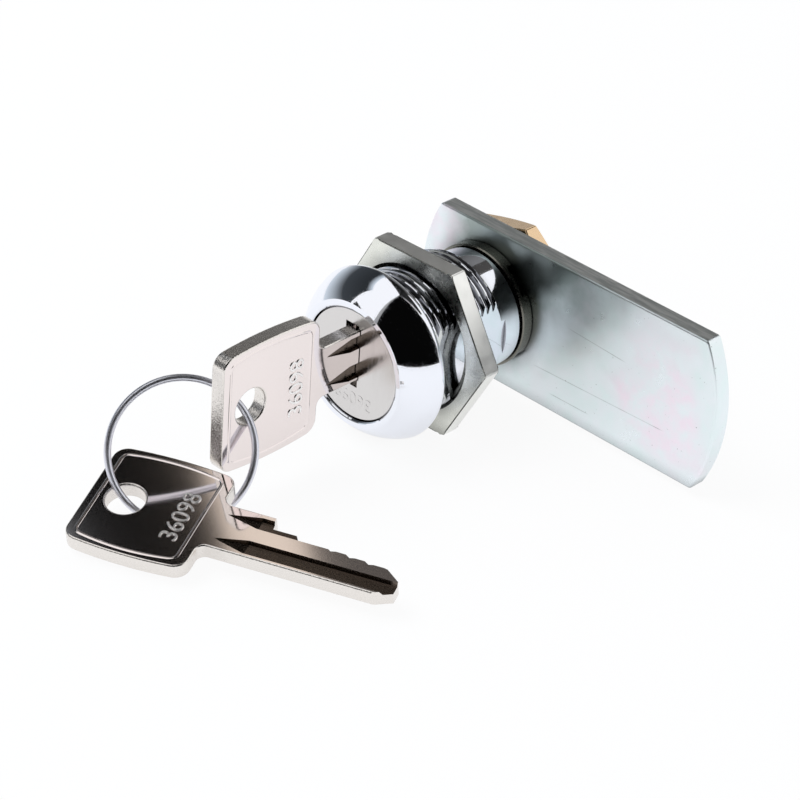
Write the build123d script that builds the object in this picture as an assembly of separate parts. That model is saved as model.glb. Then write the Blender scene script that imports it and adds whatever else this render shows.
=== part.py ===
from build123d import *
import os
from math import cos, degrees, radians, sin, sqrt

# Cam lock for a cabinet door, with two keys on a wire ring.
# Millimetres. The lock's axis lies along Y with its face towards -Y, the cam points
# along +X, and the origin is on the axis where the bezel meets the door.

# Barrel: die-cast body with an M19 thread and two flats
thread_d = 19.0
thread_depth = 0.61
across_flats = 0.8 * thread_d
bezel_d = thread_d * 23 / 19
bezel_depth = 5.2
bezel_rim = 0.7
bezel_bulge = 0.38
bezel_rounding = 0.3
lip_d = thread_d * 17.3 / 19
mouth_d = thread_d * 15.8 / 19
shank_d = thread_d * 16 / 19
shank_behind_key = 4.55
flats_before_end = 2.5
thread_before_end = 4.1
shank_cone = 0.9
spigot_d = thread_d * 15 / 19
spigot_length = 0.35

# Plug: the cylinder that the key turns
plug_d = thread_d * 12 / 19
plug_head_d = 0.8 * thread_d
plug_head_depth = 2.45
plug_edge_break = 0.15
face_recess = 0.35
mouth_above = 0.45
mouth_below = 0.1 * plug_d
mouth_deep = 1.4
mouth_shift = 0.35
tail_flats = plug_d * 9.5 / 12
tail_beyond_nut = 0.6
tail_chamfer = 0.4

# Key: stamped blank, milled grooves, bitting on the upper edge
key_thickness = 2.1
bow_length = 16.0
bow_end_width = 15.8
bow_middle_width = 16.9
bow_corner = 1.9
bow_edge_rounding = 0.25
shoulder_fillet = 1.1
ring_hole_d = 4.9
ring_hole_inset = 4.7
blade_height = 0.6 * plug_d
blade_length = 24.3
blade_neck = 6.9
first_step = plug_d * 1.45 / 12
step_slope = 0.15
key_height = plug_d * 1.7 / 12
key_neck = 7.0
tip_length = 1.9
tip_rise = 0.1 * plug_d
tip_drop = plug_d * 1.4 / 12
tip_bevel_lead = 0.5
groove_depth = 0.55
groove_slope = 0.2
groove_point = 0.03
groove_start = 1.2
groove_run_in = 4.2
upper_groove = (blade_height * 1.05 / 7.2, blade_height * 2.95 / 7.2)
lower_groove = (-blade_height * 3.15 / 7.2, -blade_height / 7.2)
back_groove = (-blade_height * 0.75 / 7.2, blade_height / 9)

# Wafers and their springs
wafer_count = 5
wafer_behind_head = 1.8
wafer_thickness = 1.0
wafer_width = plug_d * 6.1 / 12
wafer_reach = plug_d * 5.6 / 12
wafer_travel = 0.1 * plug_d
window_width = key_thickness + 0.4
first_cut = plug_d * 1.4 / 12
cut_drop = plug_d / 60
cut_land = 1.3
cut_ramp = 0.5
cut_dip = 0.18
land_before_tip = 0.5
ear_width = plug_d * 1.9 / 12
ear_height = plug_d * 1.1 / 12
ear_top = -0.075 * plug_d
spring_room = plug_d * 3.5 / 12
spring_bore_d = plug_d / 6
spring_d = plug_d * 1.65 / 12
spring_wire = 0.25
spring_turns = 4
spring_end_gap = 0.02
retainer_behind_key = 2.15
retainer_top = 0.25 * plug_d
retainer_reach = plug_d * 6.75 / 12
retainer_spring_room = plug_d * 2.2 / 12

# Stop between plug and barrel
quarter_turn = 90.0
stop_disc_d = shank_d + 0.6
stop_disc_thickness = 1.7
stop_flange = 0.6
stop_disc_edge_break = 0.15
stop_lug_inner_d = thread_d * 13 / 19
stop_lug_outer_d = thread_d * 14.7 / 19
stop_lug_angle = 20.0
stop_lug_height = 0.45
stop_lug_place = 200.0
rim_notch_width = 30.0
rim_notch_depth = 1.0
rim_notch_place = 46.0
rim_notch_count = 4

# Cam and the two nuts
cam_width = 21.4
cam_thickness = 2.5
cam_short_end = 8.85
cam_long_end = 36.05
cam_end_bulge = 2.65
cam_corner = 0.6
cam_front_rounding = 0.3
cam_back_break = 0.15
cam_nut_flats = 19.4
cam_nut_thickness = 3.1
cam_nut_turn = 13.7
fixing_nut_flats = bezel_d + 0.1
fixing_nut_thickness = 2.5
fixing_nut_front = 5.1
fixing_nut_turn = 1.5
nut_chamfer_angle = 18.0
cam_nut_chamfer_start = 0.97
fixing_nut_chamfer_start = 1.13

# Key ring and the way the loose pieces lie
ring_d = 17.87
ring_wire_d = 0.9
ring_gap = 0.12
ring_joint = 40.0
ring_offset = (-2.37, -7.94, -4.75)
ring_heading = -34.8
ring_lean = 25.0
spare_offset = (-3.762, -15.4625, -9.93)
spare_heading = 22.6
spare_roll = 12.5

# Clearances
turning_gap = 0.05
sliding_gap = 0.1
seat_gap = 0.05
thread_gap = 0.05
wafer_gap = 0.03

plug_r = plug_d / 2
bore_r = plug_r + turning_gap
recess_r = plug_head_d / 2 + sliding_gap
face_y = face_recess - bezel_depth
head_end = face_y + plug_head_depth
bow_y = face_y - key_neck
hole_y = bow_y - bow_length + ring_hole_inset
key_tip = bow_y + blade_length
shank_end = key_tip + shank_behind_key
flat_end = shank_end - flats_before_end
thread_end = shank_end - thread_before_end
barrel_end = shank_end + spigot_length
disc_front = barrel_end + seat_gap
cam_front = disc_front + stop_disc_thickness
cam_back = cam_front + cam_thickness
nut_back = cam_back + cam_nut_thickness
first_wafer = head_end + wafer_behind_head
last_wafer = key_tip - tip_length - land_before_tip - cut_land / 2
wafer_pitch = (last_wafer - first_wafer) / (wafer_count - 1)
retainer_place = key_tip + retainer_behind_key
wafer_ys = [first_wafer + wafer_pitch * k for k in range(wafer_count)]
cut_heights = [first_cut - cut_drop * k for k in range(wafer_count)]
channel_depth = wafer_reach + wafer_travel + sliding_gap


def along_y(outline, y0, y1):
    """Extrude an outline drawn in X and Z from y0 to y1."""
    return Pos(0, y1, 0) * extrude(Plane.XZ * outline, amount=y1 - y0)


def rod_y(radius, y0, y1):
    return along_y(Circle(radius), y0, y1)


def box_between(x, y, z):
    size = [b - a for a, b in (x, y, z)]
    centre = [(a + b) / 2 for a, b in (x, y, z)]
    return Pos(*centre) * Box(*size)


def turned(*points):
    """Turn a closed outline of radius and y about the lock's axis."""
    corners = [p for i, p in enumerate(points) if p != points[i - 1]]
    return revolve(make_face(Polyline(*corners, close=True)), Axis.Y)


def broken_disc(radius, y0, y1, front_break, back_break):
    """Disc on the axis whose rim is broken at its front and its back."""
    return turned(
        (0, y0),
        (radius - front_break, y0),
        (radius, y0 + front_break),
        (radius, y1 - back_break),
        (radius - back_break, y1),
        (0, y1),
    )


def sector(inner_r, outer_r, start, sweep):
    """Ring sector in X and Z, angles counted from +X towards +Z."""
    ring = Circle(outer_r) - Circle(inner_r)
    reach = 4 * outer_r
    corners = [(0, 0)]
    steps = max(2, int(sweep / 30) + 1)
    for k in range(steps + 1):
        angle = radians(start + sweep * k / steps)
        corners.append((reach * cos(angle), reach * sin(angle)))
    wedge = make_face(Polyline(*corners, close=True))
    return ring & wedge


def double_d(radius, flats):
    """Round outline with two flats that face up and down."""
    return Circle(radius) & Rectangle(3 * radius, flats)


# Barrel
def bezel_and_shank():
    root_r = thread_d / 2 - thread_depth
    lip = (lip_d / 2, -bezel_depth)
    rim = (bezel_d / 2, -bezel_rim)
    middle = ((lip[0] + rim[0]) / 2, (lip[1] + rim[1]) / 2)
    span = sqrt((rim[0] - lip[0]) ** 2 + (rim[1] - lip[1]) ** 2)
    outward = ((rim[1] - lip[1]) / span, -(rim[0] - lip[0]) / span)
    crown = (middle[0] + bezel_bulge * outward[0], middle[1] + bezel_bulge * outward[1])
    dome = ThreePointArc(lip, crown, rim)
    back = Polyline(
        rim,
        (bezel_d / 2, -bezel_rounding),
        (bezel_d / 2 - bezel_rounding, 0),
        (thread_d / 2, 0),
        (thread_d / 2, thread_end),
        (root_r, thread_end),
        (shank_d / 2, thread_end + shank_cone),
        (shank_d / 2, shank_end),
        (spigot_d / 2, shank_end),
        (spigot_d / 2, barrel_end),
        (0, barrel_end),
        (0, -bezel_depth),
        lip,
    )
    return revolve(make_face(dome + back), Axis.Y)


def barrel():
    body = bezel_and_shank()
    side = thread_d
    for sign in (-1, 1):
        cut = box_between((0, side), (0, flat_end), (-side, side))
        body -= Pos(sign * across_flats / 2, 0, 0) * Rot(0, 0 if sign > 0 else 180, 0) * cut
    body -= rod_y(bore_r, -2 * bezel_depth, 2 * barrel_end)
    recess_floor = head_end + seat_gap
    lead_in = mouth_d / 2 - recess_r
    body -= turned(
        (0, recess_floor),
        (recess_r, recess_floor),
        (recess_r, lead_in - bezel_depth),
        (mouth_d / 2, -bezel_depth),
        (mouth_d / 2, -2 * bezel_depth),
        (0, -2 * bezel_depth),
    )
    # Channels that take the wafers when the key is out, at both ends of the turn
    half = wafer_width / 2 + sliding_gap
    last = wafer_ys[-1] + wafer_thickness / 2 + 4 * sliding_gap
    channel = box_between((-half, half), (head_end, last), (-channel_depth, 0))
    body -= channel
    body -= Rot(0, quarter_turn, 0) * channel
    # Ring groove for the retaining wafer
    groove_r = retainer_reach + sliding_gap
    half = wafer_thickness / 2 + sliding_gap
    body -= rod_y(groove_r, retainer_place - half, retainer_place + half)
    # Lug that stops the turn
    lug = sector(stop_lug_inner_d / 2, stop_lug_outer_d / 2,
                 stop_lug_place - stop_lug_angle / 2, stop_lug_angle)
    return body + along_y(lug, shank_end, barrel_end + stop_lug_height)


# Key
def groove_outline(span, side, room):
    """Trapezoid of a groove in X and Z, or with room left round it, of its rib."""
    low, high = span[0] + room, span[1] - room
    face_x = key_thickness / 2
    floor_x = face_x - groove_depth + room
    over_x = face_x + groove_depth
    slope = groove_slope * (over_x - floor_x) / groove_depth
    points = [
        (floor_x, low + groove_slope),
        (over_x, low + groove_slope - slope),
        (over_x, high - groove_slope + slope),
        (floor_x, high - groove_slope),
    ]
    return make_face(Polyline(*[(side * x, z) for x, z in points], close=True))


def groove(span, side):
    """Groove of a wheel cutter, growing deeper from a point near the bow."""
    full = groove_outline(span, side, 0)
    full_y = groove_start + groove_run_in
    run = along_y(full, full_y, 2 * blade_length)
    point = Pos(side * (key_thickness / 2 + groove_point), sum(span) / 2)
    point *= Rectangle(groove_point, groove_point)
    lead = loft([
        Pos(0, groove_start, 0) * (Plane.XZ * point),
        Pos(0, full_y, 0) * (Plane.XZ * full),
    ])
    return run + lead


def bow_outline():
    """Bow with X along the key and Y across it, its front edge at x = 0."""
    end = bow_end_width / 2
    middle = bow_middle_width / 2
    upper = ThreePointArc((0, end), (-bow_length / 2, middle), (-bow_length, end))
    lower = ThreePointArc((-bow_length, -end), (-bow_length / 2, -middle), (0, -end))
    rear = Line((-bow_length, end), (-bow_length, -end))
    front = Line((0, -end), (0, end))
    face = make_face(upper + rear + lower + front)
    return fillet(face.vertices(), bow_corner)


def bitting():
    """What the cutter takes off the blade: one high step, then a land for each wafer."""
    top = blade_height / 2
    step = top - first_step
    half = cut_land / 2
    points = [(blade_neck, 2 * top), (blade_neck, top), (blade_neck + step_slope, step)]
    lands = [y - bow_y for y in wafer_ys]
    points.append((lands[0] - half - cut_ramp, step))
    for k, y in enumerate(lands):
        points.append((y - half, cut_heights[k]))
        points.append((y + half, cut_heights[k]))
        if k < wafer_count - 1:
            points.append((y + wafer_pitch / 2, cut_heights[k + 1] - cut_dip))
    last = cut_heights[-1] - cut_dip / 2
    points.append((blade_length - tip_length, last))
    points.append((blade_length, last - tip_drop))
    points.append((2 * blade_length, last - tip_drop))
    points.append((2 * blade_length, 2 * top))
    return make_face(Polyline(*points, close=True))


def tip_bevel():
    low = -blade_height / 2
    start = blade_length - tip_length - tip_bevel_lead
    return make_face(Polyline(
        (start, low),
        (blade_length, low + tip_rise),
        (2 * blade_length, low + tip_rise),
        (2 * blade_length, 2 * low),
        (start, 2 * low),
        close=True,
    ))


def key_blank():
    """Key in its own frame: thickness along X, blade along +Y, bitting towards +Z."""
    side = Plane(origin=(0, 0, 0), x_dir=(0, 1, 0), z_dir=(1, 0, 0))
    half = key_thickness / 2
    root = -bow_length / 2
    blade = Pos((blade_length + root) / 2, 0) * Rectangle(blade_length - root, blade_height)
    outline = bow_outline() + blade
    inner = [
        v for v in outline.vertices()
        if abs(v.X) < 0.01 and abs(abs(v.Y) - blade_height / 2) < 0.01
    ]
    outline = fillet(inner, shoulder_fillet)
    hole = Pos(ring_hole_inset - bow_length, 0) * Circle(ring_hole_d / 2)
    plate = extrude(side * (outline - hole), amount=half, both=True)
    rims = [
        e for e in plate.edges()
        if abs(abs(e.center().X) - half) < 0.01 and e.center().Y < shoulder_fillet * 0.9
    ]
    plate = fillet(rims, bow_edge_rounding)
    for outline in (bitting(), tip_bevel()):
        plate -= extrude(side * outline, amount=key_thickness, both=True)
    plate -= groove(upper_groove, 1)
    plate -= groove(lower_groove, 1)
    plate -= groove(back_groove, -1)
    return plate


# Plug
def keyway():
    """Section of the keyway: the blade with room round it, less a rib in each groove."""
    slot = Rectangle(key_thickness + 2 * sliding_gap, blade_height + 2 * sliding_gap)
    slot -= groove_outline(upper_groove, 1, sliding_gap)
    slot -= groove_outline(lower_groove, 1, sliding_gap)
    slot -= groove_outline(back_groove, -1, sliding_gap)
    return Pos(0, key_height) * slot


def keyway_mouth():
    """The taller opening in the face, open above and below the blade."""
    above = key_height + blade_height / 2 + mouth_above
    below = key_height - blade_height / 2 - mouth_below
    width = key_thickness / 2 + sliding_gap
    upper = Pos(-mouth_shift, (above + key_height) / 2) * Rectangle(
        2 * width, above - key_height)
    lower = Pos(mouth_shift, (below + key_height) / 2) * Rectangle(
        width, key_height - below)
    reach = Rectangle(2 * width, blade_height)
    block = Pos(0, key_height) * reach
    return (upper + lower) - block


def spring_side(k):
    """The wafers' ears lie right and left in turn, so that their bores leave a wall."""
    return 1 if k % 2 == 0 else -1


def spring_x(k):
    return spring_side(k) * (wafer_width / 2 + spring_bore_d / 2)


def plug():
    body = broken_disc(plug_head_d / 2, face_y, head_end, plug_edge_break, 0)
    body += rod_y(plug_r, head_end, disc_front)
    tail = along_y(double_d(plug_r, tail_flats), disc_front, nut_back + tail_beyond_nut)
    tail_end = nut_back + tail_beyond_nut
    tail &= turned(
        (0, face_y),
        (plug_r, face_y),
        (plug_r, tail_end - tail_chamfer),
        (plug_r - tail_chamfer, tail_end),
        (0, tail_end),
    )
    body += tail
    body -= along_y(keyway(), face_y - 1, key_tip + 4 * sliding_gap)
    body -= along_y(keyway_mouth(), face_y - 1, face_y + mouth_deep)
    half = wafer_thickness / 2 + wafer_gap
    wide = wafer_width / 2 + wafer_gap
    spring_top = ear_top + spring_room
    for k, y in enumerate(wafer_ys):
        body -= box_between((-wide, wide), (y - half, y + half), (-plug_d, plug_d))
        ear = spring_side(k) * (wafer_width / 2 + ear_width + wafer_gap)
        body -= box_between(
            (min(0, ear), max(0, ear)), (y - half, y + half), (-plug_d, ear_top + wafer_gap))
        bore = extrude(Pos(spring_x(k), y) * Circle(spring_bore_d / 2), amount=2 * plug_d)
        body -= Pos(0, 0, spring_top - 2 * plug_d) * bore
    y = retainer_place
    body -= box_between(
        (-wide, wide), (y - half, y + half), (-plug_d, retainer_top + wafer_gap))
    bore = extrude(Pos(0, y) * Circle(spring_bore_d / 2), amount=retainer_spring_room)
    return body - Pos(0, 0, retainer_top) * bore


# Wafers and springs
def wafer(k):
    """Plate that rides on one land of the key, with an ear for its spring."""
    y = wafer_ys[k]
    plate = Rectangle(wafer_width, 2 * plug_d) & Circle(wafer_reach)
    ear = Pos(spring_side(k) * ear_width, ear_top - ear_height / 2)
    plate += ear * Rectangle(wafer_width, ear_height)
    top = key_height + cut_heights[k] + sliding_gap
    bottom = key_height - blade_height / 2 - sliding_gap
    plate -= Pos(0, (top + bottom) / 2) * Rectangle(window_width, top - bottom)
    return along_y(plate, y - wafer_thickness / 2, y + wafer_thickness / 2)


def retaining_wafer():
    """Plate without a window whose end stands in the barrel's ring groove."""
    plate = Rectangle(wafer_width, 2 * retainer_reach) & Circle(retainer_reach)
    plate -= Pos(0, retainer_top + plug_d / 2) * Rectangle(2 * plug_d, plug_d)
    half = wafer_thickness / 2
    return along_y(plate, retainer_place - half, retainer_place + half)


def spring(x, y, low, high):
    """Open coil spring that stands along Z between low and high."""
    length = high - low - spring_wire - 2 * spring_end_gap
    radius = (spring_d - spring_wire) / 2
    path = Helix(pitch=length / spring_turns, height=length, radius=radius)
    section = Plane(origin=path @ 0, z_dir=path % 0) * Rectangle(spring_wire, spring_wire)
    coil = sweep(section, path, is_frenet=True)
    return Pos(x, y, low + spring_wire / 2 + spring_end_gap) * coil


def wafer_spring(k):
    return spring(spring_x(k), wafer_ys[k], ear_top, ear_top + spring_room)


def retaining_spring():
    return spring(0, retainer_place, retainer_top, retainer_top + retainer_spring_room)


# Stop disc, cam and nuts
def tail_hole():
    return double_d(plug_r + seat_gap, tail_flats + 2 * seat_gap)


def stop_disc():
    """Disc that turns with the plug, with an arc groove for the barrel's lug."""
    disc = broken_disc(stop_disc_d / 2, disc_front, cam_front,
                       stop_disc_edge_break, stop_disc_edge_break)
    disc -= along_y(tail_hole(), disc_front - 1, cam_front + 1)
    inner = stop_lug_inner_d / 2 - sliding_gap
    outer = stop_lug_outer_d / 2 + sliding_gap
    play = degrees(sliding_gap / inner)
    start = stop_lug_place - stop_lug_angle / 2 - play
    path = sector(inner, outer, start, stop_lug_angle + quarter_turn + 2 * play)
    floor = barrel_end + stop_lug_height + sliding_gap
    disc -= along_y(path, disc_front - 1, floor)
    rim = stop_disc_d / 2
    for k in range(rim_notch_count):
        middle = rim_notch_place + k * 360 / rim_notch_count
        notch = sector(rim - rim_notch_depth, 2 * rim, middle - rim_notch_width / 2,
                       rim_notch_width)
        disc -= along_y(notch, disc_front + stop_flange, cam_front + 1)
    return disc


def rim_at(plate, y):
    return [e for e in plate.edges() if abs(e.center().Y - y) < 0.01]


def cam():
    """Flat steel cam with bowed ends, its front rim rounded by the punch."""
    half = cam_width / 2
    upper = Line((-cam_short_end, half), (cam_long_end, half))
    lower = Line((cam_long_end, -half), (-cam_short_end, -half))
    long_end = ThreePointArc(
        (cam_long_end, half), (cam_long_end + cam_end_bulge, 0), (cam_long_end, -half))
    short_end = ThreePointArc(
        (-cam_short_end, -half), (-cam_short_end - cam_end_bulge, 0), (-cam_short_end, half))
    outline = make_face(upper + long_end + lower + short_end)
    outline = fillet(outline.vertices(), cam_corner)
    plate = along_y(outline, cam_front, cam_back)
    plate = fillet(rim_at(plate, cam_front), cam_front_rounding)
    plate = chamfer(rim_at(plate, cam_back), cam_back_break)
    return plate - along_y(tail_hole(), cam_front - 1, cam_back + 1)


def hex_nut(flats, front, back, turn, bore, chamfer_start):
    """Hexagon nut round the axis, its corners chamfered on both faces. The chamfer
    starts at that share of the half width across the flats."""
    corner = flats / sqrt(3)
    start = chamfer_start * flats / 2
    rise = (corner - start) * sin(radians(nut_chamfer_angle)) / cos(radians(nut_chamfer_angle))
    hexagon = Rot(0, 0, turn) * RegularPolygon(corner, 6)
    body = along_y(hexagon, front, back)
    body &= turned(
        (0, front),
        (start, front),
        (corner, front + rise),
        (corner, back - rise),
        (start, back),
        (0, back),
    )
    return body - rod_y(bore, front - 1, back + 1)


def fixing_nut():
    back = fixing_nut_front + fixing_nut_thickness
    return hex_nut(fixing_nut_flats, fixing_nut_front, back, fixing_nut_turn,
                   thread_d / 2 + thread_gap, fixing_nut_chamfer_start)


def cam_nut():
    return hex_nut(cam_nut_flats, cam_back, nut_back, cam_nut_turn, plug_r + thread_gap,
                   cam_nut_chamfer_start)


# Key ring and the way the two keys lie
def key_in_lock():
    return Pos(0, bow_y, key_height) * key_blank()


def spare_key():
    """Same key, lying on its side in front of the lock with one long side raised."""
    lying = Plane(origin=(0, 0, 0), x_dir=(0, 0, 1), z_dir=(0, 1, 0)).location
    turn = Rot(0, 0, spare_heading) * Rot(spare_roll, 0, 0) * lying
    place = Pos(0, hole_y, key_height) * Pos(*spare_offset)
    return place * turn * Pos(0, bow_y - hole_y, 0) * key_blank()


def key_ring():
    """One turn of wire through the holes of both keys, its ends butted."""
    gap_angle = degrees(ring_gap / (ring_d / 2))
    arc = CenterArc((0, 0), ring_d / 2, ring_joint + gap_angle / 2, 360 - gap_angle)
    section = Plane(origin=arc @ 0, z_dir=arc % 0) * Circle(ring_wire_d / 2)
    ring = sweep(section, arc)
    place = Pos(0, hole_y, key_height) * Pos(*ring_offset)
    return place * Rot(0, 0, ring_heading) * Rot(0, 90 - ring_lean, 0) * ring


nodes = {
    "barrel": barrel(),
    "plug": plug(),
    "retaining_wafer": retaining_wafer(),
    "retaining_spring": retaining_spring(),
    "fixing_nut": fixing_nut(),
    "stop_disc": stop_disc(),
    "cam": cam(),
    "cam_nut": cam_nut(),
    "key": key_in_lock(),
    "spare_key": spare_key(),
    "key_ring": key_ring(),
}
for k in range(wafer_count):
    nodes[f"wafer_{k + 1}"] = wafer(k)
    nodes[f"wafer_spring_{k + 1}"] = wafer_spring(k)

os.makedirs("parts", exist_ok=True)
for name, solid in nodes.items():
    export_step(solid, f"parts/{name}.step")
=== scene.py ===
import bmesh
import bpy
from math import asin, cos, degrees, pi, radians, sin, tan
from mathutils import Matrix, Vector


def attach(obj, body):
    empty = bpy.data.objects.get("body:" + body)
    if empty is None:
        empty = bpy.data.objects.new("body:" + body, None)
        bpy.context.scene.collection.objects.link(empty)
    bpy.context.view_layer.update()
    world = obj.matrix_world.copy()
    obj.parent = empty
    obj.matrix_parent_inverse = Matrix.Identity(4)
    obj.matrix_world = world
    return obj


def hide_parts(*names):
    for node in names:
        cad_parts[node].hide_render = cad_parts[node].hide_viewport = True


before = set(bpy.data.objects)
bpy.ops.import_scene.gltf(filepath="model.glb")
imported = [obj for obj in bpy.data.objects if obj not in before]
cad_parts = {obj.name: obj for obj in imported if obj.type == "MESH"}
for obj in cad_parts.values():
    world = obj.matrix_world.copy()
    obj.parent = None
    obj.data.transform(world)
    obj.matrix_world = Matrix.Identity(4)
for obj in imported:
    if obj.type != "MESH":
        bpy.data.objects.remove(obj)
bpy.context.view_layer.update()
mm = 0.001

# Camera: the photograph was taken with a long lens from the front right of the lock,
# a third of the way up. The picture is 800 pixels square.
azimuth, elevation, tilt = radians(42.71), radians(32.165), radians(3.864)
towards_camera = Vector((
    sin(azimuth) * cos(elevation), -cos(azimuth) * cos(elevation), sin(elevation)))
level = Vector((cos(azimuth), sin(azimuth), 0))
upright = towards_camera.cross(level)
picture_right = level * cos(tilt) + upright * sin(tilt)
picture_up = upright * cos(tilt) - level * sin(tilt)
distance, aim_right, aim_down = 404.719, 2.475, 6.158
place = (towards_camera * distance + picture_right * aim_right - picture_up * aim_down) * mm
camera_data = bpy.data.cameras.new("camera")
camera_data.lens = 145.66
camera_data.sensor_width = 36
camera_data.clip_start = 10 * mm
camera = bpy.data.objects.new("camera", camera_data)
stance = Matrix((picture_right, picture_up, towards_camera)).transposed().to_4x4()
camera.matrix_world = Matrix.Translation(place) @ stance
bpy.context.collection.objects.link(camera)
bpy.context.scene.camera = camera

# Studio: a white table and white walls, one large soft lamp above the front left, and
# dark cards that bright metal shows as its black bands, as a metal photographer uses.
table_height = -11.75 * mm
scene = bpy.context.scene
scene.view_settings.view_transform = "Standard"


def nodes_of(material):
    """The node tree of a material or of the world, as its nodes and its links."""
    material.use_nodes = True
    tree = material.node_tree
    return tree.nodes, tree.links


def link_in(obj):
    """The object, put into the scene."""
    bpy.context.collection.objects.link(obj)
    return obj


def worked(nodes, links, operation, *values):
    """Result of one step of arithmetic on other nodes' results or plain numbers."""
    step = nodes.new("ShaderNodeMath")
    step.operation = operation
    for socket, value in zip(step.inputs, values):
        if isinstance(value, (int, float)):
            socket.default_value = value
        else:
            links.new(value, socket)
    return step.outputs[0]


def between(nodes, links, value, low, high, out_low, out_high):
    """Value taken from low to high onto out_low to out_high."""
    scale = nodes.new("ShaderNodeMapRange")
    scale.inputs["From Min"].default_value = low
    scale.inputs["From Max"].default_value = high
    scale.inputs["To Min"].default_value = out_low
    scale.inputs["To Max"].default_value = out_high
    links.new(value, scale.inputs["Value"])
    return scale.outputs["Result"]


def looked_at(nodes, links, *ways):
    """1 where the camera looks, or the ray goes one of the other ways, and 0 elsewhere."""
    path = nodes.new("ShaderNodeLightPath")
    total = path.outputs["Is Camera Ray"]
    for way in ways:
        total = worked(nodes, links, "MAXIMUM", total, path.outputs[way])
    return total


room_light, room_seen = 0.72, 1.0
world = bpy.data.worlds.new("white_room")
scene.world = world
world.cycles.sampling_method = "NONE"
nodes, links = nodes_of(world)
room = nodes["Background"]
room.inputs["Color"].default_value = (1, 1, 1, 1)
seen = looked_at(nodes, links, "Is Glossy Ray", "Is Transmission Ray")
links.new(between(nodes, links, seen, 0, 1, room_light, room_seen), room.inputs["Strength"])

paper_colour, paper_glow, paper_mirrored_glow = (0.88, 0.91, 0.96), 0.2, 0.72
paper = bpy.data.materials.new("table_paper")
nodes, links = nodes_of(paper)
lit = nodes["Principled BSDF"]
lit.inputs["Base Color"].default_value = (*paper_colour, 1)
lit.inputs["Roughness"].default_value = 0.9
lit.inputs["Specular IOR Level"].default_value = 0.0
plain = nodes.new("ShaderNodeEmission")
plain.inputs["Color"].default_value = (1, 1, 1, 1)
seen = looked_at(nodes, links, "Is Transmission Ray")
direct = between(nodes, links, seen, 0, 1, 0, paper_glow)
seen = looked_at(nodes, links, "Is Glossy Ray", "Is Transmission Ray")
mirrored = between(nodes, links, seen, 0, 1, 0, paper_mirrored_glow)
mixed = nodes.new("ShaderNodeMixShader")
links.new(worked(nodes, links, "ADD", direct, mirrored), mixed.inputs["Fac"])
links.new(lit.outputs[0], mixed.inputs[1])
links.new(plain.outputs[0], mixed.inputs[2])
links.new(mixed.outputs[0], nodes["Material Output"].inputs["Surface"])
table_mesh = bpy.data.meshes.new("table")
table_half = 3.0
table_corners = [(x * table_half, y * table_half, 0)
                 for x, y in ((-1, -1), (1, -1), (1, 1), (-1, 1))]
table_mesh.from_pydata(table_corners, [], [(0, 1, 2, 3)])
table = link_in(bpy.data.objects.new("table", table_mesh))
table.location.z = table_height
table.data.materials.append(paper)

lamp_data = bpy.data.lights.new("soft_lamp", "AREA")
lamp_data.shape = "SQUARE"
lamp_data.size = 0.5
lamp_data.energy = 3.2
lamp = link_in(bpy.data.objects.new("soft_lamp", lamp_data))
lamp_way, lamp_distance = Vector((-0.42, -0.35, 0.84)), 0.8
lamp.location = lamp_way * lamp_distance
lamp.rotation_euler = lamp_way.to_track_quat("Z", "Y").to_euler()
lamp.visible_camera = False
lamp.visible_glossy = False


def card(name, low, high, dark, tint=(1, 1, 1)):
    """Curved card round the object. Low and high give the two sides of its lower and upper
    edge, in degrees from the front to the right, and the edge's height. Dark gives the
    card's brightness at the two edges. The card glows, lights nothing and is seen only in
    reflections."""
    reach = 2.6
    across, up = 24, 12
    points, faces = [], []
    for i in range(up + 1):
        left, right, height = [a + (b - a) * i / up for a, b in zip(low, high)]
        height = radians(height)
        for k in range(across + 1):
            side = radians(left + (right - left) * k / across)
            points.append((
                reach * sin(side) * cos(height),
                -reach * cos(side) * cos(height),
                reach * sin(height)))
    for i in range(up):
        for k in range(across):
            a = i * (across + 1) + k
            faces.append((a, a + 1, a + across + 2, a + across + 1))
    mesh = bpy.data.meshes.new(name)
    mesh.from_pydata(points, [], faces)
    obj = link_in(bpy.data.objects.new(name, mesh))
    cloth = bpy.data.materials.new(name)
    nodes, links = nodes_of(cloth)
    nodes.remove(nodes["Principled BSDF"])
    glow = nodes.new("ShaderNodeEmission")
    glow.inputs["Color"].default_value = (*tint, 1)
    spot = nodes.new("ShaderNodeNewGeometry")
    parts = nodes.new("ShaderNodeSeparateXYZ")
    links.new(spot.outputs["Position"], parts.inputs[0])
    bottom, top = reach * sin(radians(low[2])), reach * sin(radians(high[2]))
    links.new(between(nodes, links, parts.outputs["Z"], bottom, top, *dark),
              glow.inputs["Strength"])
    links.new(glow.outputs[0], nodes["Material Output"].inputs["Surface"])
    mesh.materials.append(cloth)
    obj.visible_camera = False
    obj.visible_diffuse = False
    obj.visible_shadow = False
    return obj


card("dark_card_front", (-1, 97, 1), (-1, 97, 90), (0.002, 0.002))
card("soft_edge_front", (-7, -1, 1), (-7, -1, 90), (0.35, 0.35))
card("dark_card_front_left", (-48, -7, 1), (-48, -7, 38), (0.2, 0.03))
card("grey_card_left_low", (-114, -48, 0), (-114, -48, 24), (0.8, 0.06), (0.85, 0.93, 1))
card("grey_card_left_high", (-114, -48, 24), (-114, -62, 52), (0.06, 0.03), (0.8, 0.9, 1))
card("grey_card_left_edge", (-114, -62, 52), (-114, -64, 59), (0.03, 0.8), (0.85, 0.93, 1))
card("dark_card_strip", (-119.6, -114, 34), (-119.6, -114, 90), (0.004, 0.004))
card("grey_card_back_low", (-180, -114, 2), (-180, -114, 24), (0.8, 0.1))
card("grey_card_back", (-180, -119.6, 24), (-180, -119.6, 44), (0.1, 0.2))
card("grey_card_back_high", (-180, -122.5, 44), (-180, -122.5, 62), (0.06, 0.1), (1, 0.95, 0.9))
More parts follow.
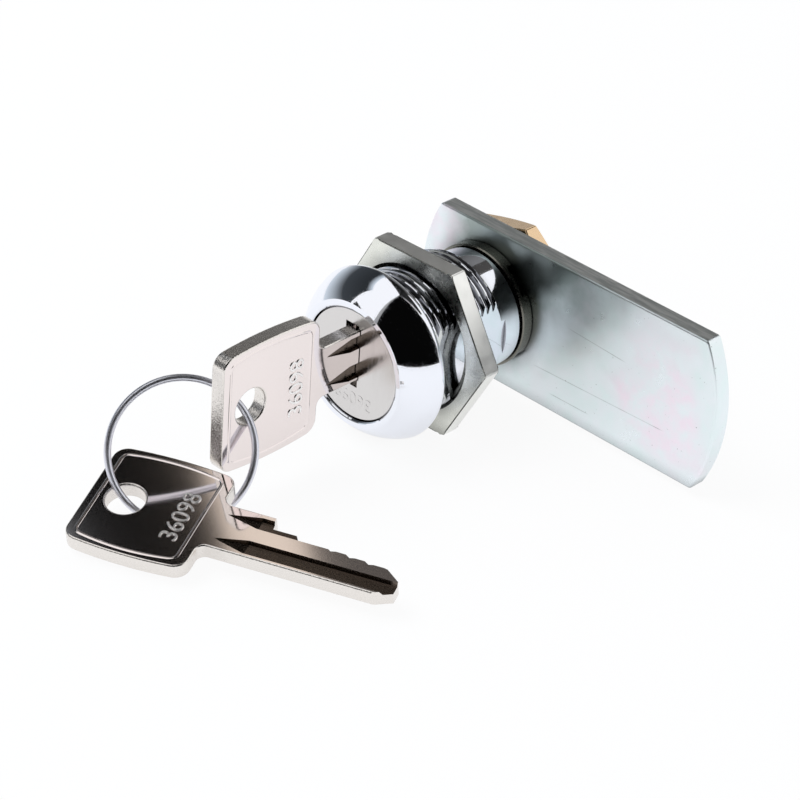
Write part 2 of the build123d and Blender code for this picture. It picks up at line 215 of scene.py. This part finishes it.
card("beige_card_back", (-122.5, -119.6, 44), (-123, -119.6, 62), (0.5, 0.95), (1, 0.91, 0.8))
card("dark_card_back_high", (-180, -119.6, 62), (-180, -119.6, 90), (0.01, 0.01))
card("dark_card_right_high", (100, 180, 58), (100, 180, 90), (0.02, 0.02))

# Barrel: one die-cast zinc body with the domed bezel, the outside thread, two flats, the
# wafers' channels and the rear stop lug, chrome plated all over. The flats were cast
# through the thread, so its turns end there.
thread_r, thread_depth, pitch, thread_start, thread_end = 9.5, 0.61, 1.0, 0.15, 12.9
flat_x, flat_start, flat_end = 7.6, 0.02, 14.5
bezel_r, bezel_front, lip_r, mouth_r, recess_r = 11.5, -5.2, 8.65, 7.9, 7.7
shank_r, shank_end, spigot_r, barrel_end, bore_r = 8.0, 17.0, 7.5, 17.35, 6.05
recess_floor, channel_r, channel_half, channel_end = -2.35, 6.9, 3.15, 10.3
channel_start = recess_floor - 0.01
retainer_groove_r, retainer_front, retainer_back = 6.85, 14.0, 15.2
lug_inner, lug_outer, lug_start, lug_sweep, lug_sunk, lug_proud = 6.5, 7.35, 190, 20, 0.1, 0.45
around_barrel, edge, ring_step = 192, 0.05, 0.09


def thread_form(turns):
    """Height of a rounded thread from 0 at its root to 1 at its crest."""
    wave = 1 - abs(2 * (turns % 1) - 1)
    rise = min(1, max(0, (wave - 0.2) / 0.65))
    return rise * rise * (3 - 2 * rise)


def outside_thread(angle, y):
    """Radius of the barrel's thread, which runs out at both ends."""
    fade = min(1, max(0, (y - 0.4) / 0.5), max(0, (thread_end - y) / 0.4))
    form = thread_form(y / pitch - angle / (2 * pi))
    return thread_r - thread_depth + thread_depth * form * fade


def bulged(start, end, height, steps):
    """Points on the arc from start to end that stands height off their line."""
    start, end = Vector(start), Vector(end)
    chord = end - start
    out = Vector((chord.y, -chord.x)).normalized()
    radius = ((chord.length / 2) ** 2 + height ** 2) / (2 * height)
    centre = (start + end) / 2 + out * (height - radius)
    half = asin(chord.length / 2 / radius)
    points = []
    for k in range(steps + 1):
        turn = half * (2 * k / steps - 1)
        points.append(centre + radius * (out * cos(turn) + chord.normalized() * sin(turn)))
    return [(p.x, p.y) for p in points]


def turned(name, rows, steps):
    """Closed mesh round the lock's axis. A row is a radius, or a function of angle and y
    that gives it, and its place along the axis, in millimetres."""
    points, faces = [], []
    for radius, y in rows:
        for k in range(steps):
            angle = 2 * pi * k / steps
            r = radius(angle, y) if callable(radius) else radius
            points.append((r * cos(angle) * mm, y * mm, r * sin(angle) * mm))
    for i in range(len(rows)):
        below, above = i * steps, (i + 1) % len(rows) * steps
        for k in range(steps):
            n = (k + 1) % steps
            faces.append((below + k, above + k, above + n, below + n))
    mesh = bpy.data.meshes.new(name)
    mesh.from_pydata(points, [], faces)
    return mesh


def crisp(mesh, angle=32):
    """Smooth shading, with the edges over that angle left sharp."""
    mesh.shade_smooth()
    mesh.set_sharp_from_angle(angle=radians(angle))
    return mesh


def cut_away(mesh, boxes):
    """The mesh less each box, given by its lowest and highest corner in millimetres."""
    body = link_in(bpy.data.objects.new("cut", mesh))
    cutters = []
    for low, high in boxes:
        form = bmesh.new()
        bmesh.ops.create_cube(form, size=1)
        for v in form.verts:
            v.co = Vector([(a + b) / 2 + (b - a) * c for a, b, c in zip(low, high, v.co)]) * mm
        block = bpy.data.meshes.new("block")
        form.to_mesh(block)
        form.free()
        cutter = link_in(bpy.data.objects.new("block", block))
        cutters.append(cutter)
        step = body.modifiers.new("cut", "BOOLEAN")
        step.operation = "DIFFERENCE"
        step.solver = "EXACT"
        step.object = cutter
    bpy.context.view_layer.update()
    found = body.evaluated_get(bpy.context.evaluated_depsgraph_get())
    result = bpy.data.meshes.new_from_object(found)
    for obj in [body] + cutters:
        bpy.data.objects.remove(obj)
    return result


rows = [(bore_r, recess_floor), (recess_r, recess_floor), (recess_r, bezel_front + 0.2)]
rows += [(mouth_r - 0.06, bezel_front + 0.06), (mouth_r + 0.06, bezel_front)]
rows += [(lip_r - 0.1, bezel_front)]
rows += bulged((lip_r, bezel_front + 0.03), (bezel_r, -0.7), 0.38, 40)
rows += bulged((bezel_r, -0.68), (bezel_r - 0.3, 0), 0.1, 6)
rows += [(9.6, 0), (thread_r - thread_depth, 0.08)]
steps_along = round((thread_end - thread_start) / ring_step)
rows += [(outside_thread, thread_start + (thread_end - thread_start) * k / steps_along)
         for k in range(steps_along + 1)]
rows += [(shank_r + edge, 13.75), (shank_r, 13.85), (shank_r, shank_end - edge)]
rows += [(shank_r - edge, shank_end), (spigot_r, shank_end), (spigot_r, barrel_end)]
rows += [(bore_r, barrel_end), (bore_r, retainer_back), (retainer_groove_r, retainer_back)]
rows += [(retainer_groove_r, retainer_front), (bore_r, retainer_front)]
barrel_mesh = turned("barrel_body", rows, around_barrel)
wide = 2 * bezel_r
barrel_mesh = cut_away(barrel_mesh, [
    ((flat_x, flat_start, -wide), (wide, flat_end, wide)),
    ((-wide, flat_start, -wide), (-flat_x, flat_end, wide)),
    ((-channel_half, channel_start, -channel_r), (channel_half, channel_end, 0)),
    ((-channel_r, channel_start, -channel_half), (0, channel_end, channel_half))])


def with_lug(mesh, inner, outer, start, sweep, front, back):
    """The mesh with a stop lug added, a block bent round the axis on the barrel's end."""
    form = bmesh.new()
    form.from_mesh(mesh)
    steps, loops = 8, []
    for k in range(steps + 1):
        angle = radians(start + sweep * k / steps)
        loops.append([
            form.verts.new(Vector((r * cos(angle), y, r * sin(angle))) * mm)
            for r, y in ((inner, front), (outer, front), (outer, back), (inner, back))])
    for near, far in zip(loops, loops[1:]):
        for i in range(4):
            form.faces.new((near[i], near[i - 1], far[i - 1], far[i]))
    form.faces.new(loops[0])
    form.faces.new(loops[-1][::-1])
    form.to_mesh(mesh)
    form.free()
    return mesh


barrel_mesh = with_lug(barrel_mesh, lug_inner, lug_outer, lug_start, lug_sweep,
                       barrel_end - lug_sunk, barrel_end + lug_proud)
barrel = link_in(bpy.data.objects.new("barrel_body", crisp(barrel_mesh, 14)))


def metal(name, colour, roughness):
    """Bare or plated metal, and its nodes, to which a piece's own grain is added."""
    material = bpy.data.materials.new(name)
    nodes, links = nodes_of(material)
    shader = nodes["Principled BSDF"]
    shader.inputs["Base Color"].default_value = (*colour, 1)
    shader.inputs["Metallic"].default_value = 1.0
    shader.inputs["Roughness"].default_value = roughness
    return material, nodes, links, shader


def grain(nodes, links, size, stretch=(1, 1, 1), detail=3.0):
    """Noise whose grains are about size millimetres, in the piece's own place."""
    where = nodes.new("ShaderNodeTexCoord")
    scaled = nodes.new("ShaderNodeMapping")
    scaled.inputs["Scale"].default_value = [s * 1000 / size for s in stretch]
    noise = nodes.new("ShaderNodeTexNoise")
    noise.inputs["Scale"].default_value = 1.0
    noise.inputs["Detail"].default_value = detail
    links.new(where.outputs["Object"], scaled.inputs["Vector"])
    links.new(scaled.outputs["Vector"], noise.inputs["Vector"])
    return noise.outputs["Fac"]


def painted_corner_shade(nodes, links, shader, colour, reach, dark):
    """Colour that falls to its dark share in corners nearer than reach millimetres, as painted
    shade. The colour is three numbers or a node's colour."""
    corner = nodes.new("ShaderNodeAmbientOcclusion")
    corner.samples = 8
    corner.inputs["Distance"].default_value = reach * mm
    mix = nodes.new("ShaderNodeMix")
    mix.data_type = "RGBA"
    mix.blend_type = "MULTIPLY"
    mix.inputs["Factor"].default_value = 1.0
    if isinstance(colour, tuple):
        mix.inputs[6].default_value = (*colour, 1)
    else:
        links.new(colour, mix.inputs[6])
    share = between(nodes, links, corner.outputs["AO"], 0.3, 1.0, dark, 1.0)
    links.new(share, mix.inputs[7])
    links.new(mix.outputs[2], shader.inputs["Base Color"])


def bumps(nodes, links, shader, value, depth, before=None):
    """Relief of that depth in millimetres on the shader's surface."""
    bump = nodes.new("ShaderNodeBump")
    bump.inputs["Distance"].default_value = depth * mm
    bump.inputs["Strength"].default_value = 1.0
    links.new(value, bump.inputs["Height"])
    if before is not None:
        links.new(before, bump.inputs["Normal"])
    links.new(bump.outputs["Normal"], shader.inputs["Normal"])
    return bump.outputs["Normal"]


chrome_colour = (0.90, 0.92, 0.98)
chrome, nodes, links, shader = metal("chrome_plating", chrome_colour, 0.05)
# Painted shade: the chrome's colour darkens in corners and where parts meet.
painted_corner_shade(nodes, links, shader, chrome_colour, 1.2, 0.12)
ripple = grain(nodes, links, 3.0, detail=1.0)
pits = grain(nodes, links, 0.12, detail=2.0)
links.new(between(nodes, links, pits, 0.5, 0.8, 0.035, 0.12), shader.inputs["Roughness"])
low = bumps(nodes, links, shader, ripple, 0.02)
bumps(nodes, links, shader, between(nodes, links, pits, 0.6, 0.9, 0, 1), 0.002, low)
barrel.data.materials.append(chrome)
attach(barrel, "barrel")
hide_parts("barrel")

# Plug: turned brass, nickel plated and left satin. Fine lines run down its face, and
# a plain number is stamped low on it.
satin, nodes, links, shader = metal("satin_nickel", (0.72, 0.70, 0.69), 0.25)
lines = grain(nodes, links, 0.25, (1, 1, 0.08))
links.new(between(nodes, links, lines, 0.3, 0.7, 0.17, 0.27), shader.inputs["Roughness"])
bumps(nodes, links, shader, lines, 0.0015)
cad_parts["plug"].data.materials[0] = satin


def figures(name, text, height, stroke, place):
    """Plain figures drawn by a rounded stroke, laid by place with their foot at its origin
    and their face along its Z."""
    curve = bpy.data.curves.new(name, "FONT")
    curve.body = text
    curve.size = height / 0.73 * mm
    curve.align_x = "CENTER"
    curve.extrude = 0.02 * mm
    curve.bevel_depth = stroke * mm
    curve.bevel_resolution = 3
    curve.offset = (0.01 - stroke) * mm
    line = link_in(bpy.data.objects.new(name + "_line", curve))
    bpy.context.view_layer.update()
    mesh = bpy.data.meshes.new_from_object(line)
    bpy.data.objects.remove(line)
    mesh.name = name
    mesh.transform(place)
    return link_in(bpy.data.objects.new(name, mesh))


face_y, plain_number = -4.85, "36098"
on_face = Matrix(((-1, 0, 0), (0, 0, -1), (0, -1, 0))).to_4x4()
on_face.translation = Vector((0.3, face_y + 0.02, -4.0)) * mm
plug_number = figures("plug_number", plain_number, 1.9, 0.035, on_face)
plug_number.data.materials.append(satin)
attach(plug_number, "plug")

# Wafers and springs: five stamped brass wafers and the retaining wafer, each on a coil
# spring of drawn steel wire. They slide in the plug's slots and are hidden inside it.
wafer_brass, nodes, links, shader = metal("wafer_brass", (0.78, 0.64, 0.36), 0.3)
lines = grain(nodes, links, 0.2, (1, 1, 0.1))
links.new(between(nodes, links, lines, 0.3, 0.7, 0.22, 0.42), shader.inputs["Roughness"])
wire_steel, nodes, links, shader = metal("spring_steel", (0.62, 0.63, 0.65), 0.2)
lines = grain(nodes, links, 0.1)
links.new(between(nodes, links, lines, 0.3, 0.7, 0.15, 0.3), shader.inputs["Roughness"])
for name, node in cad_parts.items():
    if name.startswith("wafer_spring") or name == "retaining_spring":
        node.data.materials[0] = wire_steel
    elif name.startswith("wafer") or name == "retaining_wafer":
        node.data.materials[0] = wafer_brass

# Fixing nut: a thin hexagon nut cut from steel bar, its corners just broken on both faces,
# zinc plated to a dull olive grey with brighter flats. It is screwed onto the barrel.
fixing_flats, fixing_front, fixing_back, fixing_turn = 23.1, 5.1, 7.6, 1.5
fixing_bore, fixing_play, fixing_chamfer_start = 9.55, 0.05, 1.13


def hexagon_nut(name, flats, front, back, turn, bore, thread, chamfer_start):
    """Nut about the lock's axis with a threaded bore, lead-ins and softened edges. The
    corner chamfer starts at that share of the half width across the flats."""
    apothem, steps = flats / 2, 144
    lead_in, bore_land, thread_step, softened = 0.35, 0.4, 0.1, 0.12
    start, slope = chamfer_start * apothem, tan(radians(18))

    def corner(angle):
        beside = (degrees(angle) - turn) % 60 - 30
        return apothem / cos(radians(beside))

    def chamfer(angle):
        return max(0, corner(angle) - start) * slope

    def land(angle, y):
        return min(start, corner(angle) - 0.05)

    points, faces = [], []
    rows = [(bore, front + lead_in)]
    length = back - front - 2 * lead_in
    count = round(length / thread_step)
    rows += [(thread, front + lead_in + length * k / count) for k in range(1, count)]
    rows += [(bore, back - lead_in), (bore + bore_land, back), (land, back), ("back", 0)]
    rows += [("front", 0), (land, front), (bore + bore_land, front)]
    for radius, y in rows:
        for k in range(steps):
            angle = radians(turn) + 2 * pi * k / steps
            if radius == "back":
                r, along = corner(angle), back - chamfer(angle)
            elif radius == "front":
                r, along = corner(angle), front + chamfer(angle)
            else:
                r = radius(angle, y) if callable(radius) else radius
                along = y
            points.append((r * cos(angle) * mm, along * mm, r * sin(angle) * mm))
    for i in range(len(rows)):
        below, above = i * steps, (i + 1) % len(rows) * steps
        for k in range(steps):
            n = (k + 1) % steps
            faces.append((below + n, above + n, above + k, below + k))
    mesh = bpy.data.meshes.new(name)
    mesh.from_pydata(points, [], faces)
    form = bmesh.new()
    form.from_mesh(mesh)
    bmesh.ops.recalc_face_normals(form, faces=form.faces)
    rim = [e for e in form.edges
           if min(Vector((v.co.x, v.co.z)).length for v in e.verts) > (apothem - 0.02) * mm
           and e.calc_face_angle(0) > radians(12)]
    bmesh.ops.bevel(form, geom=rim, offset=softened * mm, segments=3, affect="EDGES")
    form.to_mesh(mesh)
    form.free()
    return crisp(mesh, 25)


def nut_thread(angle, y):
    """Radius of the nut's thread, which clears the barrel's by a little play."""
    return outside_thread(angle, y) + fixing_play


fixing_nut = link_in(bpy.data.objects.new("fixing_nut_body", hexagon_nut(
    "fixing_nut_body", fixing_flats, fixing_front, fixing_back, fixing_turn, fixing_bore,
    nut_thread, fixing_chamfer_start)))
zinc_colour, flats_colour = (0.82, 0.83, 0.77), (0.97, 0.97, 0.94)
zinc, nodes, links, shader = metal("nut_zinc", zinc_colour, 0.25)
# Painted shade: the nut's colour darkens in corners, most of all by the barrel.
painted_corner_shade(nodes, links, shader, zinc_colour, 3.0, 0.18)
cloud = grain(nodes, links, 1.6)
fine = grain(nodes, links, 0.12)
links.new(between(nodes, links, cloud, 0.3, 0.7, 0.2, 0.34), shader.inputs["Roughness"])
bumps(nodes, links, shader, fine, 0.004)
fixing_nut.data.materials.append(zinc)
flats_zinc, nodes, links, shader = metal("nut_zinc_flats", flats_colour, 0.36)
cloud = grain(nodes, links, 1.2)
links.new(between(nodes, links, cloud, 0.3, 0.7, 0.3, 0.42), shader.inputs["Roughness"])
bumps(nodes, links, shader, grain(nodes, links, 0.12), 0.004)
fixing_nut.data.materials.append(flats_zinc)
outside_thread_r = 11
for face in fixing_nut.data.polygons:
    from_axis = Vector((face.center.x, face.center.z)).length
    if abs(face.normal.y) < 0.5 and from_axis > outside_thread_r * mm:
        face.material_index = 1
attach(fixing_nut, "barrel")
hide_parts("fixing_nut")

# Stop disc: pressed from steel sheet and plated dark, on the flats of the plug's tail
# between the barrel and the cam. Its arc meets the barrel's stop lug.
disc_steel, nodes, links, shader = metal("stop_disc_steel", (0.20, 0.195, 0.17), 0.18)
fine = grain(nodes, links, 0.3)
links.new(between(nodes, links, fine, 0.3, 0.7, 0.15, 0.32), shader.inputs["Roughness"])
bumps(nodes, links, shader, fine, 0.004)
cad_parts["stop_disc"].data.materials[0] = disc_steel

# Cam: punched from 2.5 mm steel strip and zinc plated, on the flats of the plug's tail.
# The plating has a faint rainbow sheen, small pits and a few scratches; a cloud of painted
# shade lies by the barrel and in the corners. The long edges show the streaks of the punch.
zinc_pale, zinc_green, zinc_pink = (0.86, 0.92, 0.95), (0.84, 0.94, 0.95), (0.96, 0.87, 0.95)
zinc_shade_colour, zinc_scratch, zinc_pit = (0.40, 0.46, 0.45), (0.36, 0.39, 0.39), (0.25, 0.27, 0.26)
streak_dark, streak_light = (0.70, 0.74, 0.73), (0.94, 0.96, 0.95)
cam_zinc, nodes, links, shader = metal("cam_zinc", zinc_pale, 0.3)
spot = nodes.new("ShaderNodeTexCoord")
axes = nodes.new("ShaderNodeSeparateXYZ")
links.new(spot.outputs["Object"], axes.inputs[0])
along_cam, across_cam = axes.outputs["X"], axes.outputs["Z"]


def mixed_colours(nodes, links, amount, first, second):
    """Colour from first to second, each one a colour or another node's colour."""
    mix = nodes.new("ShaderNodeMix")
    mix.data_type = "RGBA"
    links.new(amount, mix.inputs["Factor"])
    for socket, colour in ((mix.inputs[6], first), (mix.inputs[7], second)):
        if isinstance(colour, tuple):
            socket.default_value = (*colour, 1)
        else:
            links.new(colour, socket)
    return mix.outputs[2]


def product(nodes, links, *values):
    """All the values multiplied together."""
    total = values[0]
    for value in values[1:]:
        total = worked(nodes, links, "MULTIPLY", total, value)
    return total


def scratch(nodes, links, height, slope, start, end):
    """1 on a fine straight line along the cam and 0 beside it. It crosses the axis at that
    height and runs from start to end, in millimetres."""
    line = worked(nodes, links, "MULTIPLY_ADD", along_cam, slope, height * mm)
    away = worked(nodes, links, "ABSOLUTE", worked(nodes, links, "SUBTRACT", across_cam, line))
    return product(
        nodes, links,
        between(nodes, links, away, 0.03 * mm, 0.08 * mm, 1, 0),
        between(nodes, links, along_cam, start * mm, (start + 1) * mm, 0, 1),
        between(nodes, links, along_cam, (end - 1) * mm, end * mm, 1, 0))


cloud = grain(nodes, links, 7.0, detail=6.0)
blot = grain(nodes, links, 2.2, detail=5.0)
sheen = grain(nodes, links, 14.0, detail=2.0)
pit = grain(nodes, links, 0.35, detail=1.0)
fine = grain(nodes, links, 0.25)
# Painted shade: a cloudy dark patch by the barrel, towards the top of the cam.
near_barrel = between(nodes, links, along_cam, 26 * mm, 8 * mm, 0, 1)
right_of_end = between(nodes, links, along_cam, -9 * mm, 1 * mm, 0.1, 1)
near_top = between(nodes, links, across_cam, -4 * mm, 10 * mm, 0, 1)
barrel_shade_cloud = product(nodes, links, near_barrel, right_of_end, near_top, cloud)
barrel_shade = between(nodes, links, barrel_shade_cloud, 0.05, 0.3, 0, 1)
rainbow = mixed_colours(nodes, links, between(nodes, links, sheen, 0.42, 0.58, 0, 1),
                        zinc_green, zinc_pink)
pale = mixed_colours(nodes, links, between(nodes, links, blot, 0.35, 0.65, 0, 1),
                     zinc_pale, rainbow)
tone = mixed_colours(nodes, links, barrel_shade, pale, zinc_shade_colour)
scratches = scratch(nodes, links, -5.6, 0.03, 9, 31)
for height, slope, start, end in ((3.2, -0.05, 14, 24), (-8.3, 0.01, 12, 19)):
    line = scratch(nodes, links, height, slope, start, end)
    scratches = worked(nodes, links, "MAXIMUM", scratches, line)
scratched = mixed_colours(nodes, links, product(nodes, links, scratches, blot), tone,
                          zinc_scratch)
pitted = mixed_colours(nodes, links, between(nodes, links, pit, 0.77, 0.82, 0, 0.8),
                       scratched, zinc_pit)
# Painted shade: the cam's colour also darkens in corners, by the disc and the nut.
painted_corner_shade(nodes, links, shader, pitted, 3.0, 0.2)
links.new(between(nodes, links, blot, 0.3, 0.7, 0.27, 0.38), shader.inputs["Roughness"])
bumps(nodes, links, shader, fine, 0.002)
cam_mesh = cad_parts["cam"].data
cam_mesh.materials[0] = cam_zinc
cam_edge, nodes, links, shader = metal("cam_zinc_edge", streak_light, 0.48)
shear = grain(nodes, links, 0.4, (0.12, 1, 0.4))
links.new(between(nodes, links, shear, 0.35, 0.65, 0.36, 0.48), shader.inputs["Roughness"])
links.new(mixed_colours(nodes, links, between(nodes, links, shear, 0.38, 0.6, 0, 1),
                        streak_dark, streak_light), shader.inputs["Base Color"])
bumps(nodes, links, shader, shear, 0.005)
cam_mesh.materials.append(cam_edge)
for face in cam_mesh.polygons:
    if abs(face.normal.z) > 0.99:
        face.material_index = 1

# Cam nut: plain brass, cut from hexagon bar with both faces chamfered and its flats left
# as drawn. It is screwed onto the plug's threaded tail and holds the cam.
cam_nut_flats, cam_nut_front, cam_nut_back, cam_nut_turn = 19.4, 21.6, 24.7, 13.7
tail_root, tail_thread_depth, cam_nut_chamfer_start = 6.05, 0.5, 0.97


def tail_thread(angle, y):
    """Radius of the cam nut's thread."""
    return tail_root + tail_thread_depth * thread_form(y / pitch - angle / (2 * pi))


cam_nut = link_in(bpy.data.objects.new("cam_nut_body", hexagon_nut(
    "cam_nut_body", cam_nut_flats, cam_nut_front, cam_nut_back, cam_nut_turn, tail_root,
    tail_thread, cam_nut_chamfer_start)))
brass, nodes, links, shader = metal("nut_brass", (0.82, 0.60, 0.38), 0.25)
lines = grain(nodes, links, 0.3, (1, 0.1, 1))
links.new(between(nodes, links, lines, 0.3, 0.7, 0.16, 0.34), shader.inputs["Roughness"])
bumps(nodes, links, shader, lines, 0.004)
cam_nut.data.materials.append(brass)
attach(cam_nut, "plug")
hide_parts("cam_nut")

# Keys: stamped steel blanks, nickel plated. Each bow has a raised border line and a plain
# five-figure number. The faces are bright and the tumbled edges are grainy; the milled
# grooves are painted near black as shade, and the numbers painted whiter as highlight.
# Each key is dressed in its own frame, with its thickness along X.
key_half, blade_half = 1.05, 3.2
key_bright, key_edge, groove_shade_colour = (0.89, 0.81, 0.79), (0.84, 0.80, 0.76), (0.15, 0.12, 0.10)
number_highlight_colour = (0.95, 0.93, 0.92)
hole_in_key = Vector((0, -11.3, 0))
hole = Vector((0, -23.15, 1.7))
spare_hole = hole + Vector((-3.762, -15.4625, -9.93))
lying = Matrix(((0, 1, 0), (0, 0, 1), (1, 0, 0))).to_4x4()
spare_turn, spare_tilt = radians(22.6), radians(12.5)
spare_stance = Matrix.Rotation(spare_turn, 4, "Z") @ Matrix.Rotation(spare_tilt, 4, "X") @ lying
key_places = {
    "key": Matrix.Translation((hole - hole_in_key) * mm),
    "spare_key": Matrix.Translation(spare_hole * mm)
    @ spare_stance @ Matrix.Translation(-hole_in_key * mm),
}


def border_line(name):
    """Raised line that follows the bow's edge, in the key's own frame."""
    rear, front, corner = -14.75, -1.5, 0.9
    half_end, half_middle = 6.85, 7.55
    side = bulged((-rear, half_end), (-front, half_end), half_middle - half_end, 16)[::-1]
    upper = [(-x, y) for x, y in side]
    path = [Vector(p) for p in upper] + [Vector((x, -y)) for x, y in reversed(upper)]
    count = len(path)
    corners = (0, len(upper) - 1, len(upper), count - 1)
    rounded = []
    for i, here in enumerate(path):
        before, after = path[i - 1], path[(i + 1) % count]
        if i in corners:
            a = here + (before - here).normalized() * corner
            b = here + (after - here).normalized() * corner
            for k in range(7):
                t = k / 6
                rounded.append(a * (1 - t) ** 2 + here * 2 * t * (1 - t) + b * t * t)
        elif min((here - path[j]).length for j in corners) > corner:
            rounded.append(here)
    section = [(-0.24, -0.01), (-0.16, 0.045), (0, 0.075), (0.16, 0.045), (0.24, -0.01)]
    points, faces = [], []
    count = len(rounded)
    for i, p in enumerate(rounded):
        along = (rounded[(i + 1) % count] - rounded[i - 1]).normalized()
        side = Vector((-along.y, along.x))
        for off, rise in section:
            q = p + side * off
            points.append(Vector((key_half + rise, q.x, q.y)) * mm)
    for i in range(count):
        for k in range(len(section) - 1):
            a, b = i * len(section) + k, (i + 1) % count * len(section) + k
            faces.append((a, b, b + 1, a + 1))
    mesh = bpy.data.meshes.new(name)
    mesh.from_pydata([tuple(p) for p in points], [], faces)
    mesh.shade_smooth()
    return link_in(bpy.data.objects.new(name, mesh))


across_bow = Matrix(((0, 0, 1), (0, -1, 0), (1, 0, 0))).to_4x4()
across_bow.translation = Vector((key_half + 0.02, -2.75, -0.35)) * mm
nickel, nodes, links, shader = metal("key_nickel", key_bright, 0.06)
tumbled, nodes, links, shader = metal("key_nickel_edge", key_edge, 0.25)
fine = grain(nodes, links, 0.22)
links.new(between(nodes, links, fine, 0.3, 0.7, 0.15, 0.3), shader.inputs["Roughness"])
bumps(nodes, links, shader, fine, 0.03)
# Painted highlight: the numbers' colour is whiter than the bow's; their rougher finish is their
# own.
number_highlight, nodes, links, shader = metal("key_number_painted_highlight", number_highlight_colour, 0.3)
fine = grain(nodes, links, 0.3)
links.new(between(nodes, links, fine, 0.3, 0.7, 0.24, 0.36), shader.inputs["Roughness"])
# Painted shade: the milled grooves are coloured near black.
groove_shade, nodes, links, shader = metal("key_groove_painted_shade", groove_shade_colour, 0.2)
lines = grain(nodes, links, 0.2)
links.new(between(nodes, links, lines, 0.3, 0.7, 0.12, 0.3), shader.inputs["Roughness"])


def finish_key(mesh, place):
    """Bright faces, grainy edges and milled grooves in painted shade on a key's mesh."""
    mesh.materials.clear()
    for finish in (nickel, tumbled, groove_shade):
        mesh.materials.append(finish)
    into_key = place.inverted()
    turn = into_key.to_3x3()
    for face in mesh.polygons:
        out = turn @ face.normal
        where = into_key @ face.center
        if abs(out.x) > 0.99 and abs(where.x) > (key_half - 0.02) * mm:
            face.material_index = 0
        elif abs(out.x) > 0.2 and abs(where.z) < blade_half * mm and where.y > 1 * mm:
            face.material_index = 2
        else:
            face.material_index = 1


for body, place in key_places.items():
    finish_key(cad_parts[body].data, place)
    border = border_line(body + "_border")
    number = figures(body + "_number", plain_number, 2.4, 0.09, across_bow)
    for piece, finish in ((border, nickel), (number, number_highlight)):
        piece.matrix_world = place
        piece.data.materials.append(finish)
        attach(piece, body)

# Key ring: one turn of bright drawn steel wire, bent round with its ends butted. It
# hangs in the holes of both keys.
ring_steel, nodes, links, shader = metal("ring_wire", (0.78, 0.79, 0.86), 0.3)
fine = grain(nodes, links, 0.15)
links.new(between(nodes, links, fine, 0.3, 0.7, 0.3, 0.42), shader.inputs["Roughness"])
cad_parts["key_ring"].data.materials[0] = ring_steel
